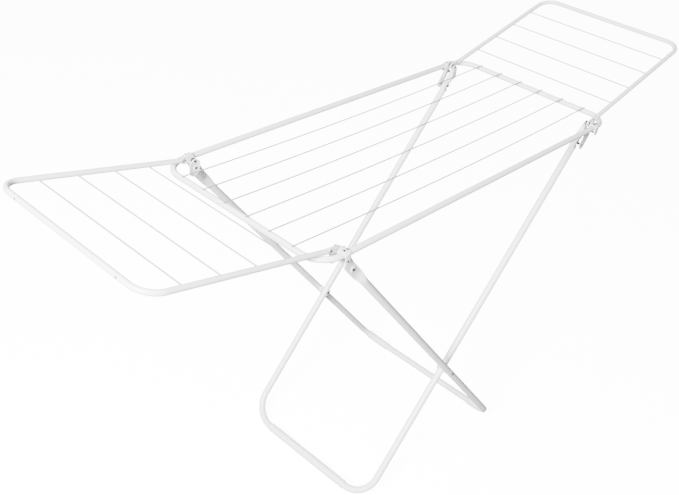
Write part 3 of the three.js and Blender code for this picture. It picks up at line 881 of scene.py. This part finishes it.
make_piece("foot_bar_sleeve", [bar_cover(-127, 127)], "inner_leg",
           ["inner_foot_sleeve"], [plastic])
for place, way in ENDS:
    collar = bar_cover(131, 143) if way > 0 else bar_cover(-143, -131)
    make_piece(f"foot_bar_collar_{place}", [collar], "inner_leg",
               [f"inner_foot_collar_{place}"], [plastic])


# Hooks at the inner leg's top

def hook_skin():
    """Moulded hook: a rounded block outline with a slot cut along the way its pin leaves, its edges
    rounded by quarter circles as a plate's are."""
    rise = CATCH_PIN_HEIGHT - CROSSING[1]
    way_x = OUTER_LEG_FOLD * (CATCH_PIN_HEIGHT - LEG_PIVOT_HEIGHT) + INNER_LEG_FOLD * rise
    outer_run = catch_pin[0] - leg_pivot[0]
    inner_run = catch_pin[0] - CROSSING[0]
    way_z = -OUTER_LEG_FOLD * outer_run - INNER_LEG_FOLD * inner_run
    along = -way_x * math.cos(inner_lean) - way_z * math.sin(inner_lean)
    across = way_x * math.sin(inner_lean) - way_z * math.cos(inner_lean)
    leave = math.atan2(across, along)
    half, tip, slot = 8.6, 10.0, 3.4
    direction = np.array([math.cos(leave), math.sin(leave)])
    beside = np.array([-direction[1], direction[0]])
    nose = np.array([half - tip, 0])

    def reach_of(start):
        """Distance from start along the slot to the block's outline."""
        reach = 1e9
        if direction[1] > 1e-6:
            reach = (half - start[1]) / direction[1]
        elif direction[1] < -1e-6:
            reach = (-half - start[1]) / direction[1]
        return start + reach * direction

    upper = reach_of(slot * beside)
    lower = reach_of(-slot * beside)
    bottom = np.linspace(leave + math.pi / 2, leave + 1.5 * math.pi, 15)
    slot_round = np.stack([slot * np.cos(bottom), slot * np.sin(bottom)], -1)
    nose_turn = np.linspace(math.pi / 2, 1.5 * math.pi, 25)
    nose_round = nose + half * np.stack([np.cos(nose_turn), np.sin(nose_turn)], -1)
    left_mouth, right_mouth = sorted((upper, lower), key=lambda p: p[0])
    if direction[1] > 0:
        inner = slot_round if np.allclose(right_mouth, lower) else slot_round[::-1]
        loop = [
            [(PLUG_LENGTH, -half)], [(PLUG_LENGTH, half)],
            [right_mouth], inner[::-1], [left_mouth], nose_round,
        ]
    else:
        inner = slot_round if np.allclose(left_mouth, upper) else slot_round[::-1]
        loop = [
            [(PLUG_LENGTH, -half)], [(PLUG_LENGTH, half)],
            nose_round, [left_mouth], inner, [right_mouth],
        ]
    outline = np.vstack([np.asarray(part, float) for part in loop])
    faces_y = INNER_LEG_WIDTH / 2 + np.array([-7.0, 7.0])
    rings = np.stack([
        np.stack([outline[:, 0], np.full(len(outline), y), outline[:, 1]], -1) for y in faces_y
    ])
    skin = ring_shell(rings, flat_ends=True)
    return moved(skin, (-inner_top_reach, 0, 0))


hook = laid(hook_skin(), CROSSING, math.pi + inner_lean)
for place, way in ENDS:
    skin = hook if way > 0 else other_side(hook)
    piece = make_piece(f"catch_hook_{place}", [skin], "inner_leg",
                       [f"inner_leg_hook_{place}"], [plastic])
    edge = piece.modifiers.new("moulded_edge", "BEVEL")
    edge.width = 0.9 * MM
    edge.segments = 3
    edge.limit_method = "ANGLE"
    edge.angle_limit = math.radians(40)
    edge.harden_normals = True


# Rivets, washers and caps at the crossing

inside = (INNER_LEG_WIDTH - LEG_TUBE) / 2
outside = (OUTER_LEG_WIDTH + LEG_TUBE) / 2
between = (inside + LEG_TUBE, outside - LEG_TUBE)
crossing_rivet = rivet(CROSSING, [
    (4.2, inside - 3.1), (4.2, inside - 2.1), (3.5, inside - 2), (3.4, outside - 0.6), (3.4, outside + 0.6),
], (4.2, 1.2), (3.4, 1.2))
washer = bar_along(CROSSING, between[0] + 0.2, between[1] - 0.2, 9, 0.7)
cap = bar_along(CROSSING, inside - 2.1, inside - 0.1, 10, 0.6)
for place, way in ENDS:
    for title, skin, body, slot, node, finish in (
        ("crossing_pin", crossing_rivet, "outer_leg", "steel", "crossing_rivet", steel),
        ("crossing_spacer", washer, "outer_leg", "white_plastic", "crossing_washer", plastic),
        ("crossing_disc", cap, "inner_leg", "white_plastic", "crossing_cap", plastic),
    ):
        shown = skin if way > 0 else other_side(skin)
        make_piece(f"{title}_{place}", [shown], body, [f"{node}_{place}"], [finish])

bpy.context.view_layer.update()
